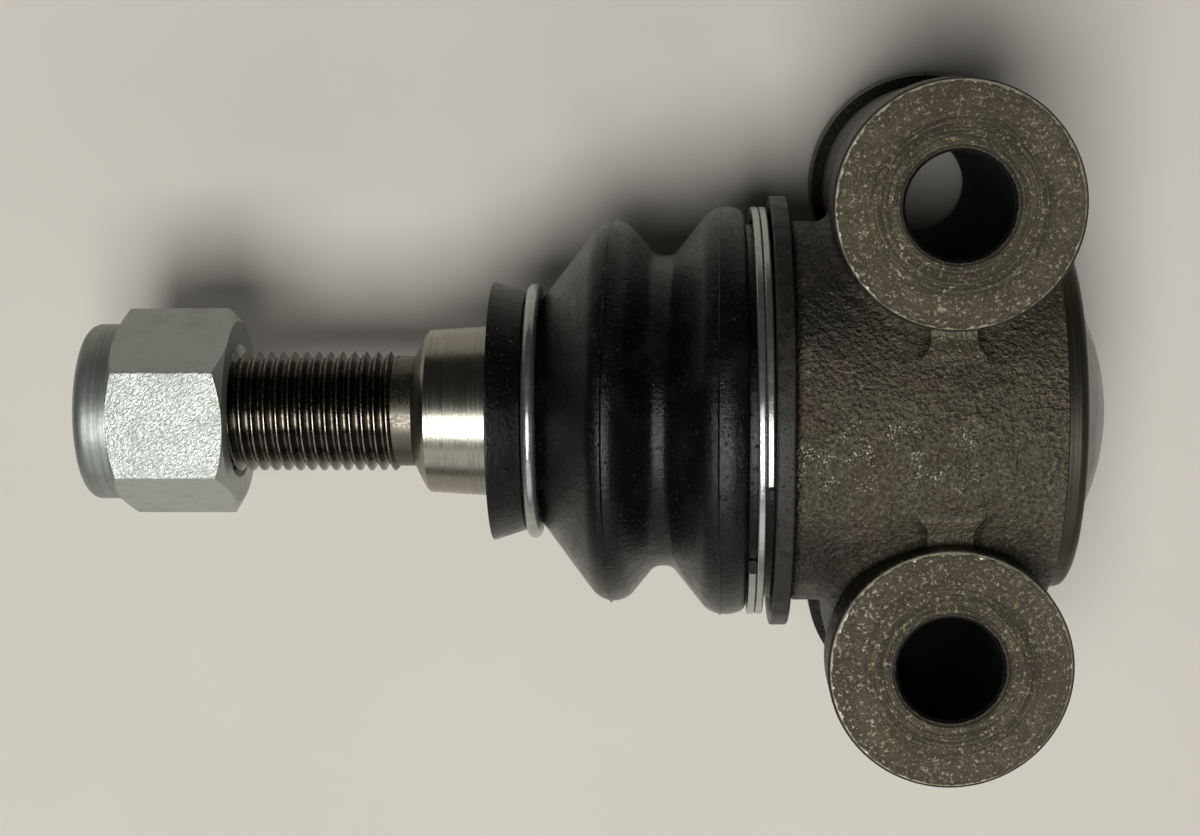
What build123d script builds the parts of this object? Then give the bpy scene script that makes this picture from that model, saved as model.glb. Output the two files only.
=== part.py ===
from build123d import *
import math
import os

# Suspension ball joint with a two-lug forged housing, in millimetres.
# The stud lies along X with its nut towards -X, the lug bores lie along Z, and the
# origin is on the stud axis, midway between the two lug bores.

# ---- driving dimensions ----------------------------------------------------------
# forged housing: lugs
lug_spacing = 45.2
lug_length = 39.0
lug_pad_diameter = 24.0
lug_pad_height = 6.0
lug_waist_depth = 1.1
bolt_hole_diameter = 10.32
bolt_hole_chamfer = 0.6
pad_edge_chamfer = 0.4
web_thickness = 5.0
web_root_angle = 25.0
web_slope_angle = 18.0
lug_blend_radius = 1.6
# forged housing: barrel
barrel_wall = 4.45
barrel_draft_angle = 1.5
barrel_edge_radius = 0.8
neck_wall = 2.6
neck_lip_height = 0.7
neck_lip_width = 1.0
neck_length = 5.0
neck_reach = 17.2
shoulder_reach = 7.5
# ball, its two seats and the spring behind them
ball_diameter = 25.4
ball_forward = 3.0
ball_flat_depth = 0.6
ball_clearance = 0.05
swing_limit = 14.0
flare_clearance = 0.9
seat_wall = 1.9
seat_clearance = 0.05
seat_split = 0.6
seat_back_thickness = 1.85
seat_back_rise = 0.5
seat_back_chamfer = 0.9
grease_hole_diameter = 7.0
spring_outer_diameter = 20.0
spring_inner_diameter = 10.2
spring_thickness = 0.9
spring_clearance = 0.04
# cover plate and the rim rolled over it
cap_dome_radius = 24.0
cap_dome_rise = 6.35
cap_thickness = 1.8
cap_ledge_width = 1.75
cap_flange_thickness = 1.3
cap_clearance = 0.05
rim_wall = 1.9
rim_lip_thickness = 0.6
rim_edge_radius = 0.9
rim_band_width = 2.1
# stud
shank_diameter = 14.0
shank_blend_radius = 2.0
shank_cone_start = 33.0
taper_start = 37.0
taper_length = 12.6
taper_small_diameter = 17.1
taper_ratio = 1 / 8
taper_edge_chamfer = 0.25
relief_diameter = 11.6
relief_cone_length = 1.6
relief_length = 2.1
thread_diameter = 12.6
thread_length = 28.2
thread_end_chamfer = 1.1
# boot
soft_gap = 0.2
sleeve_wall = 2.2
flange_width = 1.8
flange_height = 2.9
boot_wall = 1.7
crest_height = 1.85
valley_depth = 5.05
second_crest_height = 3.65
first_crest_offset = 4.5
first_crest_width = 3.4
valley_width = 1.8
second_crest_width = 2.5
first_slope_share = 0.28
second_slope_share = 0.23
crest_round = 1.9
second_crest_round = 2.4
valley_round = 1.3
inside_crest_round = 0.4
boot_lip_length = 5.9
boot_lip_height = 4.4
boot_neck_wall = 2.4
groove_width = 1.6
groove_offset = 3.5
# rings
spiral_turn_width = 0.76
spiral_turn_gap = 0.06
spiral_depth = 1.6
spiral_corner_round = 0.2
spiral_start_angle = 40.0
spiral_gap_angle = 29.0
wire_diameter = 1.4
wire_ring_gap_angle = 14.0
# nut
nut_width_across_flats = 19.05
hex_height = 12.0
collar_height = 3.65
collar_diameter = 18.5
collar_edge_radius = 1.2
nut_edge_angle = 30.0
nut_corner_round = 0.3
nut_entry_depth = 0.7
nut_engagement = 11.5
insert_depth = 0.2
insert_thickness = 2.4
insert_outer_diameter = 16.0
crimp_opening_diameter = 13.8
running_clearance = 0.05

# ---- derived sizes ---------------------------------------------------------------
ball_radius = ball_diameter / 2
ball_x = -ball_forward
seat_inner_radius = ball_radius + ball_clearance
seat_outer_radius = seat_inner_radius + seat_wall
cavity_radius = seat_outer_radius + seat_clearance
shoulder_x = ball_x - shoulder_reach
neck_front_x = ball_x - neck_reach
barrel_front_x = neck_front_x + neck_length

# The two swings can meet at a corner, and the stud's side then stands on this line.
corner_angle = math.degrees(math.acos(math.cos(math.radians(swing_limit)) ** 2))
flare_slope = math.tan(math.radians(corner_angle))
flare_start_radius = shank_diameter / 2 / math.cos(math.radians(corner_angle)) + flare_clearance


def flare_radius(x):
    """Radius at x of the flared mouth that the stud swings in."""
    return flare_start_radius + (ball_x - x) * flare_slope


seat_back_x = ball_x + ball_radius + seat_back_thickness
ledge_x = seat_back_x - seat_back_rise
ledge_radius = cavity_radius + cap_ledge_width
cap_apex_x = ledge_x + cap_dome_rise
cap_centre_x = cap_apex_x - cap_dome_radius
cap_inner_radius = cap_dome_radius - cap_thickness
cap_top_x = ledge_x + cap_flange_thickness
cap_dome_base = math.sqrt(cap_dome_radius**2 - (cap_top_x - cap_centre_x) ** 2)
cap_hollow_base = math.sqrt(cap_inner_radius**2 - (ledge_x - cap_centre_x) ** 2)
rim_radius = ledge_radius + rim_wall
rim_x = cap_top_x + cap_clearance + rim_lip_thickness
barrel_rear_x = rim_x - rim_band_width
barrel_rear_radius = cavity_radius + barrel_wall
draft_slope = math.tan(math.radians(barrel_draft_angle))
barrel_front_radius = barrel_rear_radius + (barrel_rear_x - barrel_front_x) * draft_slope
blank_rear_radius = barrel_rear_radius - rim_band_width * draft_slope

neck_radius = flare_radius(neck_front_x) + neck_wall
neck_lip_radius = neck_radius + neck_lip_height
lug_y = lug_spacing / 2
lug_top_z = lug_length / 2
lug_pad_radius = lug_pad_diameter / 2
lug_waist_radius = lug_pad_radius - lug_waist_depth
web_slope = math.tan(math.radians(web_slope_angle))
web_root_y = barrel_rear_radius * math.sin(math.radians(web_root_angle))
web_root_z = barrel_rear_radius * math.cos(math.radians(web_root_angle))
web_start_y = barrel_rear_radius * math.sin(math.radians(web_slope_angle))
web_start_z = web_root_z + (web_root_y - web_start_y) * web_slope
web_end_y = lug_y - lug_waist_radius / 2
web_end_z = web_root_z - (web_end_y - web_root_y) * web_slope
bolt_hole_radius = bolt_hole_diameter / 2

taper_start_x = ball_x - taper_start
taper_end_x = taper_start_x - taper_length
relief_x = taper_end_x - relief_cone_length - relief_length
stud_end_x = relief_x - thread_length
thread_radius = thread_diameter / 2
taper_small_radius = taper_small_diameter / 2


def taper_radius(x):
    """Radius of the stud's taper at x."""
    return taper_small_radius + (x - taper_end_x) * taper_ratio / 2


boot_bore_radius = neck_radius + soft_gap
ring_seat_radius = boot_bore_radius + sleeve_wall
flange_radius = ring_seat_radius + flange_height
flange_rear_x = barrel_front_x - soft_gap
flange_front_x = flange_rear_x - flange_width
boot_end_x = taper_start_x - boot_lip_length
groove_x = boot_end_x + groove_offset
groove_end_x = groove_x + groove_width
boot_neck_radius = taper_radius(groove_x) + soft_gap + boot_neck_wall
boot_lip_radius = taper_radius(boot_end_x) + soft_gap + boot_lip_height

spiral_pitch = spiral_turn_width + spiral_turn_gap
spiral_inner_radius = ring_seat_radius + soft_gap
spiral_travel = spiral_pitch * (2 - spiral_gap_angle / 360)
spiral_front_x = flange_front_x - soft_gap / 2 - spiral_turn_width - spiral_travel
wire_radius = wire_diameter / 2
wire_ring_x = groove_x + groove_width / 2
wire_ring_radius = boot_neck_radius + soft_gap + wire_radius

nut_face_x = stud_end_x + nut_engagement
hex_end_x = nut_face_x - hex_height
nut_end_x = hex_end_x - collar_height
nut_bore_radius = thread_radius + running_clearance
insert_outer_radius = insert_outer_diameter / 2
insert_x = stud_end_x - insert_depth
insert_end_x = insert_x - insert_thickness
nut_flat_radius = nut_width_across_flats / 2
nut_corner_radius = nut_flat_radius / math.cos(math.radians(30))
cut_margin = 1.0
radius_match = 0.01


def turned(*points, mode=Mode.ADD, hollow_radius=0):
    """Solid of revolution about X of the closed outline through (x, radius) points.

    A hollow radius takes a ball of that radius, on the ball's centre, out of it.
    """
    with BuildSketch(Plane.XZ) as outline:
        with BuildLine():
            Polyline(*points, close=True)
        make_face()
        if hollow_radius:
            with Locations((ball_x, 0)):
                Circle(hollow_radius, mode=Mode.SUBTRACT)
    revolve(outline.sketch, axis=Axis.X, mode=mode)


def round_edges(solid, radius):
    """Circular edges of the solid that have this radius."""
    circles = solid.edges().filter_by(GeomType.CIRCLE)
    return circles.filter_by(lambda edge: abs(edge.radius - radius) < radius_match)


def cut_swing_room():
    """Opens the flared mouth that the stud swings in, out past the housing's front."""
    outside_x = neck_front_x - cut_margin
    turned(
        (ball_x, 0),
        (ball_x, flare_radius(ball_x)),
        (outside_x, flare_radius(outside_x)),
        (outside_x, 0),
        mode=Mode.SUBTRACT,
    )


# ---- housing: forged barrel with a lug on each side ------------------------------
with BuildPart() as housing:
    turned(
        (neck_front_x, 0),
        (neck_front_x, neck_lip_radius),
        (neck_front_x + neck_lip_width, neck_lip_radius),
        (neck_front_x + neck_lip_width, neck_radius),
        (barrel_front_x, neck_radius),
        (barrel_front_x, barrel_front_radius),
        (rim_x, blank_rear_radius),
        (rim_x, 0),
    )
    front_edge = housing.edges().filter_by(GeomType.CIRCLE).sort_by(SortBy.RADIUS)[-1]
    fillet(front_edge, barrel_edge_radius)
    # waists of the two lugs, and a web between each lug and the barrel
    before_lugs = housing.edges()
    with BuildSketch(Plane.XY):
        with Locations((0, lug_y), (0, -lug_y)):
            Circle(lug_waist_radius)
    extrude(amount=lug_top_z - pad_edge_chamfer, both=True)
    crotch_edges = (housing.edges() - before_lugs).filter_by(GeomType.BSPLINE)
    fillet(crotch_edges, lug_blend_radius)
    # rim that is rolled over the cover plate, turned down behind the lugs
    turned(
        (barrel_rear_x, rim_radius),
        (barrel_rear_x, lug_y + lug_pad_radius),
        (rim_x, lug_y + lug_pad_radius),
        (rim_x, rim_radius),
        mode=Mode.SUBTRACT,
    )
    rim_edge = housing.edges().filter_by(GeomType.CIRCLE).group_by(Axis.X)[-1]
    fillet(rim_edge, rim_edge_radius)
    with BuildSketch(Plane.YZ):
        for side in (1, -1):
            with BuildLine():
                Polyline(
                    (side * web_start_y, -web_start_z),
                    (side * web_start_y, web_start_z),
                    (side * web_end_y, web_end_z),
                    (side * web_end_y, -web_end_z),
                    close=True,
                )
            make_face()
    extrude(amount=web_thickness / 2, both=True)
    # machined pads on the lug ends
    for side in (1, -1):
        with BuildSketch(Plane.XY.offset(side * (lug_top_z - lug_pad_height))):
            with Locations((0, lug_y), (0, -lug_y)):
                Circle(lug_pad_radius)
        extrude(amount=side * lug_pad_height)
    pad_rims = round_edges(housing, lug_pad_radius).group_by(Axis.Z)
    chamfer(pad_rims[0] + pad_rims[-1], pad_edge_chamfer)
    # cavity, ledge for the cover plate and the rolled lip's opening
    turned(
        (shoulder_x, 0),
        (shoulder_x, cavity_radius),
        (ledge_x, cavity_radius),
        (ledge_x, ledge_radius),
        (cap_top_x + cap_clearance, ledge_radius),
        (cap_top_x + cap_clearance, cap_dome_base + cap_clearance),
        (rim_x, cap_dome_base + cap_clearance),
        (rim_x, 0),
        mode=Mode.SUBTRACT,
    )
    cut_swing_room()
    # bolt holes through the lugs
    with Locations((0, lug_y), (0, -lug_y)):
        Cylinder(bolt_hole_radius, lug_length + 2 * cut_margin, mode=Mode.SUBTRACT)
    chamfer(round_edges(housing, bolt_hole_radius), bolt_hole_chamfer)
housing.part.label = "housing"

# ---- front seat: takes the ball towards the stud ---------------------------------
front_seat_x = ball_x - seat_split / 2
with BuildPart() as front_seat:
    turned(
        (shoulder_x, flare_radius(shoulder_x)),
        (shoulder_x, seat_outer_radius),
        (front_seat_x, seat_outer_radius),
        (front_seat_x, flare_radius(front_seat_x)),
        hollow_radius=seat_inner_radius,
    )
front_seat.part.label = "front_seat"

# ---- rear seat: cup behind the ball, with a grease hole --------------------------
rear_seat_x = ball_x + seat_split / 2
with BuildPart() as rear_seat:
    turned(
        (rear_seat_x, grease_hole_diameter / 2),
        (rear_seat_x, seat_outer_radius),
        (ledge_x - seat_back_chamfer / 2, seat_outer_radius),
        (seat_back_x, cap_hollow_base - 2 * seat_back_chamfer),
        (seat_back_x, grease_hole_diameter / 2),
        hollow_radius=seat_inner_radius,
    )
rear_seat.part.label = "rear_seat"

# ---- preload spring: coned disc between the rear seat and the cover plate --------
spring_outer_radius = spring_outer_diameter / 2
spring_inner_radius = spring_inner_diameter / 2
spring_top_x = cap_centre_x + math.sqrt(cap_inner_radius**2 - spring_outer_radius**2) - spring_clearance
spring_foot_x = seat_back_x + spring_clearance
with BuildPart() as preload_spring:
    turned(
        (spring_foot_x, spring_inner_radius),
        (spring_foot_x + spring_thickness, spring_inner_radius),
        (spring_top_x, spring_outer_radius),
        (spring_top_x - spring_thickness, spring_outer_radius),
    )
preload_spring.part.label = "preload_spring"

# ---- end cap: domed cover plate held under the rolled lip ------------------------
cap_flange_radius = ledge_radius - cap_clearance
with BuildPart() as end_cap:
    with BuildSketch(Plane.XZ):
        with BuildLine():
            dome_mid_angle = math.asin(cap_dome_base / cap_dome_radius) / 2
            hollow_mid_angle = math.asin(cap_hollow_base / cap_inner_radius) / 2
            ThreePointArc(
                (cap_apex_x, 0),
                (
                    cap_centre_x + cap_dome_radius * math.cos(dome_mid_angle),
                    cap_dome_radius * math.sin(dome_mid_angle),
                ),
                (cap_top_x, cap_dome_base),
            )
            Polyline(
                (cap_top_x, cap_dome_base),
                (cap_top_x, cap_flange_radius),
                (ledge_x, cap_flange_radius),
                (ledge_x, cap_hollow_base),
            )
            ThreePointArc(
                (ledge_x, cap_hollow_base),
                (
                    cap_centre_x + cap_inner_radius * math.cos(hollow_mid_angle),
                    cap_inner_radius * math.sin(hollow_mid_angle),
                ),
                (cap_apex_x - cap_thickness, 0),
            )
            Line((cap_apex_x - cap_thickness, 0), (cap_apex_x, 0))
        make_face()
    revolve(axis=Axis.X)
end_cap.part.label = "end_cap"

# ---- ball stud -------------------------------------------------------------------
shank_radius = shank_diameter / 2
relief_radius = relief_diameter / 2
ball_rear_x = ball_x + ball_radius - ball_flat_depth
with BuildPart() as ball_stud:
    with BuildSketch(Plane.XZ):
        with BuildLine():
            Polyline(
                (stud_end_x, 0),
                (stud_end_x, thread_radius - thread_end_chamfer),
                (stud_end_x + thread_end_chamfer, thread_radius),
                (relief_x, thread_radius),
                (relief_x, relief_radius),
                (relief_x + relief_length, relief_radius),
                (taper_end_x - taper_edge_chamfer, taper_small_radius - taper_edge_chamfer),
                (taper_end_x, taper_small_radius),
                (taper_start_x, taper_radius(taper_start_x)),
                (ball_x - shank_cone_start, shank_radius),
                (ball_x, shank_radius),
                (ball_x, 0),
                close=True,
            )
        make_face()
        with Locations((ball_x, 0)):
            Circle(ball_radius)
        with Locations((ball_x, 0)):
            Rectangle(4 * ball_radius, 4 * ball_radius, align=(Align.CENTER, Align.MAX), mode=Mode.SUBTRACT)
        with Locations((ball_rear_x, 0)):
            Rectangle(ball_radius, 4 * ball_radius, align=(Align.MIN, Align.CENTER), mode=Mode.SUBTRACT)
    revolve(axis=Axis.X)
    neck_rim = round_edges(ball_stud, shank_radius).sort_by(Axis.X)[-1]
    fillet(neck_rim, shank_blend_radius)
ball_stud.part.label = "ball_stud"

# ---- boot: two-convolution bellows from the housing's neck to the stud's taper ---


def inside_corners(corners, depth):
    """Corners of the open line that runs depth inside the given open line."""
    points = [Vector(*corner) for corner in corners]
    normals = []
    for start, end in zip(points, points[1:]):
        along = (end - start).normalized()
        normals.append(Vector(-along.Y, along.X))
    moved = []
    for corner, before, after in zip(points[1:-1], normals, normals[1:]):
        moved.append(corner + (before + after) * (depth / (1 + before.dot(after))))
    return moved


crest_radius = ring_seat_radius + crest_height
valley_radius = crest_radius - valley_depth
second_crest_radius = valley_radius + second_crest_height
first_crest_x = barrel_front_x - first_crest_offset
crest_end_x = first_crest_x - first_crest_width
slope_room = crest_end_x - groove_end_x - valley_width - second_crest_width
valley_x = crest_end_x - first_slope_share * slope_room
valley_end_x = valley_x - valley_width
second_crest_x = valley_end_x - second_slope_share * slope_room
second_crest_end_x = second_crest_x - second_crest_width
bellows = [
    (first_crest_x, ring_seat_radius),
    (first_crest_x, crest_radius),
    (crest_end_x, crest_radius),
    (valley_x, valley_radius),
    (valley_end_x, valley_radius),
    (second_crest_x, second_crest_radius),
    (second_crest_end_x, second_crest_radius),
    (groove_end_x, boot_neck_radius),
]
bellows_rounds = [
    crest_round / 2,
    crest_round,
    valley_round,
    valley_round,
    second_crest_round,
    second_crest_round,
]
bellows_inside = inside_corners(bellows, boot_wall)
inside_valley_round = valley_round + boot_wall
inside_rounds = [
    inside_crest_round,
    inside_crest_round,
    inside_valley_round,
    inside_valley_round,
    inside_crest_round,
    inside_crest_round,
]
neck_bore_radius = taper_radius(groove_end_x) + soft_gap
sleeve_end_x = neck_front_x + neck_lip_width + soft_gap
with BuildPart() as boot:
    with BuildSketch(Plane.XZ):
        with BuildLine():
            Polyline(
                (flange_rear_x, boot_bore_radius),
                (flange_rear_x, flange_radius),
                (flange_front_x, flange_radius),
                (flange_front_x, ring_seat_radius),
                bellows[0],
            )
            FilletPolyline(*bellows, radius=bellows_rounds)
            Polyline(
                bellows[-1],
                (groove_x, boot_neck_radius),
                (groove_x, boot_neck_radius + wire_radius),
                (boot_end_x + soft_gap, boot_lip_radius),
                (boot_end_x, boot_lip_radius),
                (boot_end_x, taper_radius(boot_end_x) + soft_gap),
                (groove_end_x, neck_bore_radius),
            )
            FilletPolyline(
                (groove_end_x, neck_bore_radius),
                *reversed(bellows_inside),
                (first_crest_x - boot_wall, neck_lip_radius + soft_gap),
                radius=inside_rounds,
            )
            Polyline(
                (first_crest_x - boot_wall, neck_lip_radius + soft_gap),
                (sleeve_end_x, neck_lip_radius + soft_gap),
                (sleeve_end_x, boot_bore_radius),
                (flange_rear_x, boot_bore_radius),
            )
        make_face()
    revolve(axis=Axis.X)
boot.part.label = "boot"

# ---- small retaining ring: open wire ring in the boot's groove -------------------


def section_plane(x, angle):
    """Plane through the X axis at an angle around it from +Z, with x at its origin."""
    radial = Vector(0, math.sin(math.radians(angle)), math.cos(math.radians(angle)))
    return Plane(origin=(x, 0, 0), x_dir=(1, 0, 0), z_dir=Vector(1, 0, 0).cross(radial))


with BuildPart() as small_retaining_ring:
    with BuildSketch(section_plane(wire_ring_x, 180 - wire_ring_gap_angle / 2)):
        with Locations((0, wire_ring_radius)):
            Circle(wire_radius)
    revolve(axis=Axis.X, revolution_arc=360 - wire_ring_gap_angle)
small_retaining_ring.part.label = "small_retaining_ring"

# ---- large retaining ring: flat wire wound nearly twice round the boot -----------
coil = Helix(
    pitch=spiral_pitch,
    height=spiral_travel,
    radius=spiral_inner_radius,
    center=(spiral_front_x, 0, 0),
    direction=(1, 0, 0),
).rotate(Axis.X, spiral_start_angle)
with BuildPart() as large_retaining_ring:
    with BuildSketch(section_plane(spiral_front_x, -spiral_start_angle)):
        with Locations((0, spiral_inner_radius)):
            RectangleRounded(
                spiral_turn_width, spiral_depth, spiral_corner_round, align=(Align.MIN, Align.MIN)
            )
    sweep(path=coil, is_frenet=True)
large_retaining_ring.part.label = "large_retaining_ring"

# ---- lock nut: hexagon with a crimped collar, and its nylon insert ---------------
with BuildPart() as lock_nut:
    with BuildSketch(Plane.YZ.offset(hex_end_x)):
        RegularPolygon(nut_flat_radius, 6, major_radius=False, rotation=0)
    extrude(amount=hex_height)
    fillet(lock_nut.edges().filter_by(Axis.X), nut_corner_round)
    edge_slope = math.tan(math.radians(nut_edge_angle))
    edge_run = (nut_corner_radius - nut_flat_radius) * edge_slope
    turned(
        (nut_face_x, 0),
        (nut_face_x, nut_flat_radius),
        (nut_face_x - edge_run, nut_corner_radius),
        (hex_end_x + edge_run, nut_corner_radius),
        (hex_end_x, nut_flat_radius),
        (hex_end_x, 0),
        mode=Mode.INTERSECT,
    )
    turned(
        (hex_end_x, 0),
        (hex_end_x, collar_diameter / 2),
        (nut_end_x, collar_diameter / 2),
        (nut_end_x, 0),
    )
    collar_rim = lock_nut.edges().group_by(Axis.X)[0]
    fillet(collar_rim, collar_edge_radius)
    turned(
        (nut_face_x, 0),
        (nut_face_x, nut_bore_radius + nut_entry_depth),
        (nut_face_x - nut_entry_depth, nut_bore_radius),
        (insert_x + running_clearance, nut_bore_radius),
        (insert_x + running_clearance, insert_outer_radius + running_clearance),
        (insert_end_x - running_clearance, insert_outer_radius + running_clearance),
        (insert_end_x - running_clearance, crimp_opening_diameter / 2),
        (nut_end_x, crimp_opening_diameter / 2),
        (nut_end_x, 0),
        mode=Mode.SUBTRACT,
    )
lock_nut.part.label = "lock_nut"

with BuildPart() as nylon_insert:
    turned(
        (insert_x, nut_bore_radius),
        (insert_x, insert_outer_radius),
        (insert_end_x, insert_outer_radius),
        (insert_end_x, nut_bore_radius),
    )
nylon_insert.part.label = "nylon_insert"

pieces = (
    housing,
    front_seat,
    rear_seat,
    preload_spring,
    end_cap,
    ball_stud,
    boot,
    small_retaining_ring,
    large_retaining_ring,
    lock_nut,
    nylon_insert,
)
os.makedirs("parts", exist_ok=True)
for piece in pieces:
    export_step(piece.part, f"parts/{piece.part.label}.step")
    print(piece.part.label, round(piece.part.volume), "mm3")
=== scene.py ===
"""Dresses a suspension ball joint.

The rubber boot and the threaded stud are modelled here. The forged housing, the nut, the rings,
the cap and the seats keep their shapes and are given their finishes.
"""

import math
import random

import bpy
from bpy.props import FloatProperty, FloatVectorProperty, IntProperty, PointerProperty
from mathutils import Matrix, Vector


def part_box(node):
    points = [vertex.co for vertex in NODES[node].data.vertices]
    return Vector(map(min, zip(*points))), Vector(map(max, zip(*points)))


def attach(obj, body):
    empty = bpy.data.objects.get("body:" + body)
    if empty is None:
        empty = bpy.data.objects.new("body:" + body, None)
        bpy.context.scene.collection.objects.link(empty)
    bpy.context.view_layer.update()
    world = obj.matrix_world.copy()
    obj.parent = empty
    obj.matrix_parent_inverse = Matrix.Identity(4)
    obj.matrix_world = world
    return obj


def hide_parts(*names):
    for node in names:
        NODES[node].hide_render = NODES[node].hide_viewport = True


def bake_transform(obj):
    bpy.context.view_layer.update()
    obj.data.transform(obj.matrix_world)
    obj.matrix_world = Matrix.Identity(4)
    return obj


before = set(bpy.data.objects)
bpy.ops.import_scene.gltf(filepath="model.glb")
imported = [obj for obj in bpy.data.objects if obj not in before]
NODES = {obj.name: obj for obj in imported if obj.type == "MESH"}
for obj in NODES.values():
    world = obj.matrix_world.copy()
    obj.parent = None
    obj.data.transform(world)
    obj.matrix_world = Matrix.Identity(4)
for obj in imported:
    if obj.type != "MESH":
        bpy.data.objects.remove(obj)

bl_info = {
    "name": "Suspension Ball Joint",
    "version": (1, 0, 0),
    "blender": (4, 5, 0),
    "location": "3D View > Sidebar > Ball Joint",
    "description": "Models the boot and stud of a suspension ball joint and finishes its metal parts",
    "category": "Object",
}

MM = 0.001


def paint(red, green, blue):
    """Linear colour of a paint chip given in everyday 0 to 255 steps."""
    linear = []
    for step in (red, green, blue):
        share = step / 255
        linear.append(share / 12.92 if share <= 0.04045 else ((share + 0.055) / 1.055) ** 2.4)
    return tuple(linear)


# ---- sizes and colours a user would change -----------------------------------------


def colour_setting(name, description, default):
    return FloatVectorProperty(
        name=name,
        description=description,
        subtype="COLOR",
        size=3,
        min=0,
        max=1,
        default=default,
    )


def length_setting(name, description, default, least, most):
    return FloatProperty(
        name=name,
        description=description,
        subtype="DISTANCE",
        unit="LENGTH",
        min=least,
        max=most,
        default=default,
    )


class BootSettings(bpy.types.PropertyGroup):
    rubber: colour_setting("Rubber", "Colour of the moulded rubber", paint(8, 8, 8))
    bloom: colour_setting("Bloom", "Colour of the pale bloom on the rubber", paint(36, 36, 33))
    seam_height: length_setting(
        "Seam height",
        "How far the mould seam stands off each fold",
        0.26 * MM,
        least=0,
        most=0.001,
    )
    lean: FloatProperty(
        name="Lean",
        description="How far the folds lean towards the stud on top",
        subtype="ANGLE",
        unit="ROTATION",
        min=0,
        max=0.1,
        default=math.radians(2.2),
    )
    segments: IntProperty(
        name="Segments",
        description="Steps around the boot",
        min=48,
        max=512,
        default=256,
    )


class StudSettings(bpy.types.PropertyGroup):
    thread_pitch: length_setting(
        "Thread pitch",
        "Distance from one thread crest to the next",
        1.27 * MM,
        least=0.0005,
        most=0.003,
    )
    thread_depth: length_setting(
        "Thread depth",
        "Height of the thread from root to crest",
        0.72 * MM,
        least=0.0002,
        most=0.0015,
    )
    steel: colour_setting("Ground steel", "Colour of the ground taper", paint(148, 146, 133))
    oil: colour_setting("Oiled thread", "Colour of the oil-dark thread", paint(84, 80, 72))


class HousingSettings(bpy.types.PropertyGroup):
    forging: colour_setting("Forging", "Colour of the forged skin", paint(84, 79, 64))
    machined: colour_setting("Machined faces", "Colour of the faced pads", paint(98, 92, 74))


class PlatingSettings(bpy.types.PropertyGroup):
    zinc: colour_setting("Zinc", "Colour of the zinc plating", paint(168, 172, 166))
    nylon: colour_setting("Nylon", "Colour of the seats and the nut's insert", paint(208, 205, 192))


class StageSettings(bpy.types.PropertyGroup):
    floor: colour_setting("Floor", "Colour of the floor", paint(211, 206, 196))
    key_power: FloatProperty(
        name="Key lamp",
        description="Power of the large lamp in front of the part",
        subtype="POWER",
        unit="POWER",
        min=0,
        max=200,
        default=4.0,
    )
    lens: FloatProperty(
        name="Lens",
        description="Focal length of the camera",
        subtype="DISTANCE_CAMERA",
        unit="CAMERA",
        min=20,
        max=200,
        default=63.68,
    )


class JointSettings(bpy.types.PropertyGroup):
    boot: PointerProperty(type=BootSettings)
    stud: PointerProperty(type=StudSettings)
    housing: PointerProperty(type=HousingSettings)
    plating: PointerProperty(type=PlatingSettings)
    stage: PointerProperty(type=StageSettings)


# ---- finishes ----------------------------------------------------------------------


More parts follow.
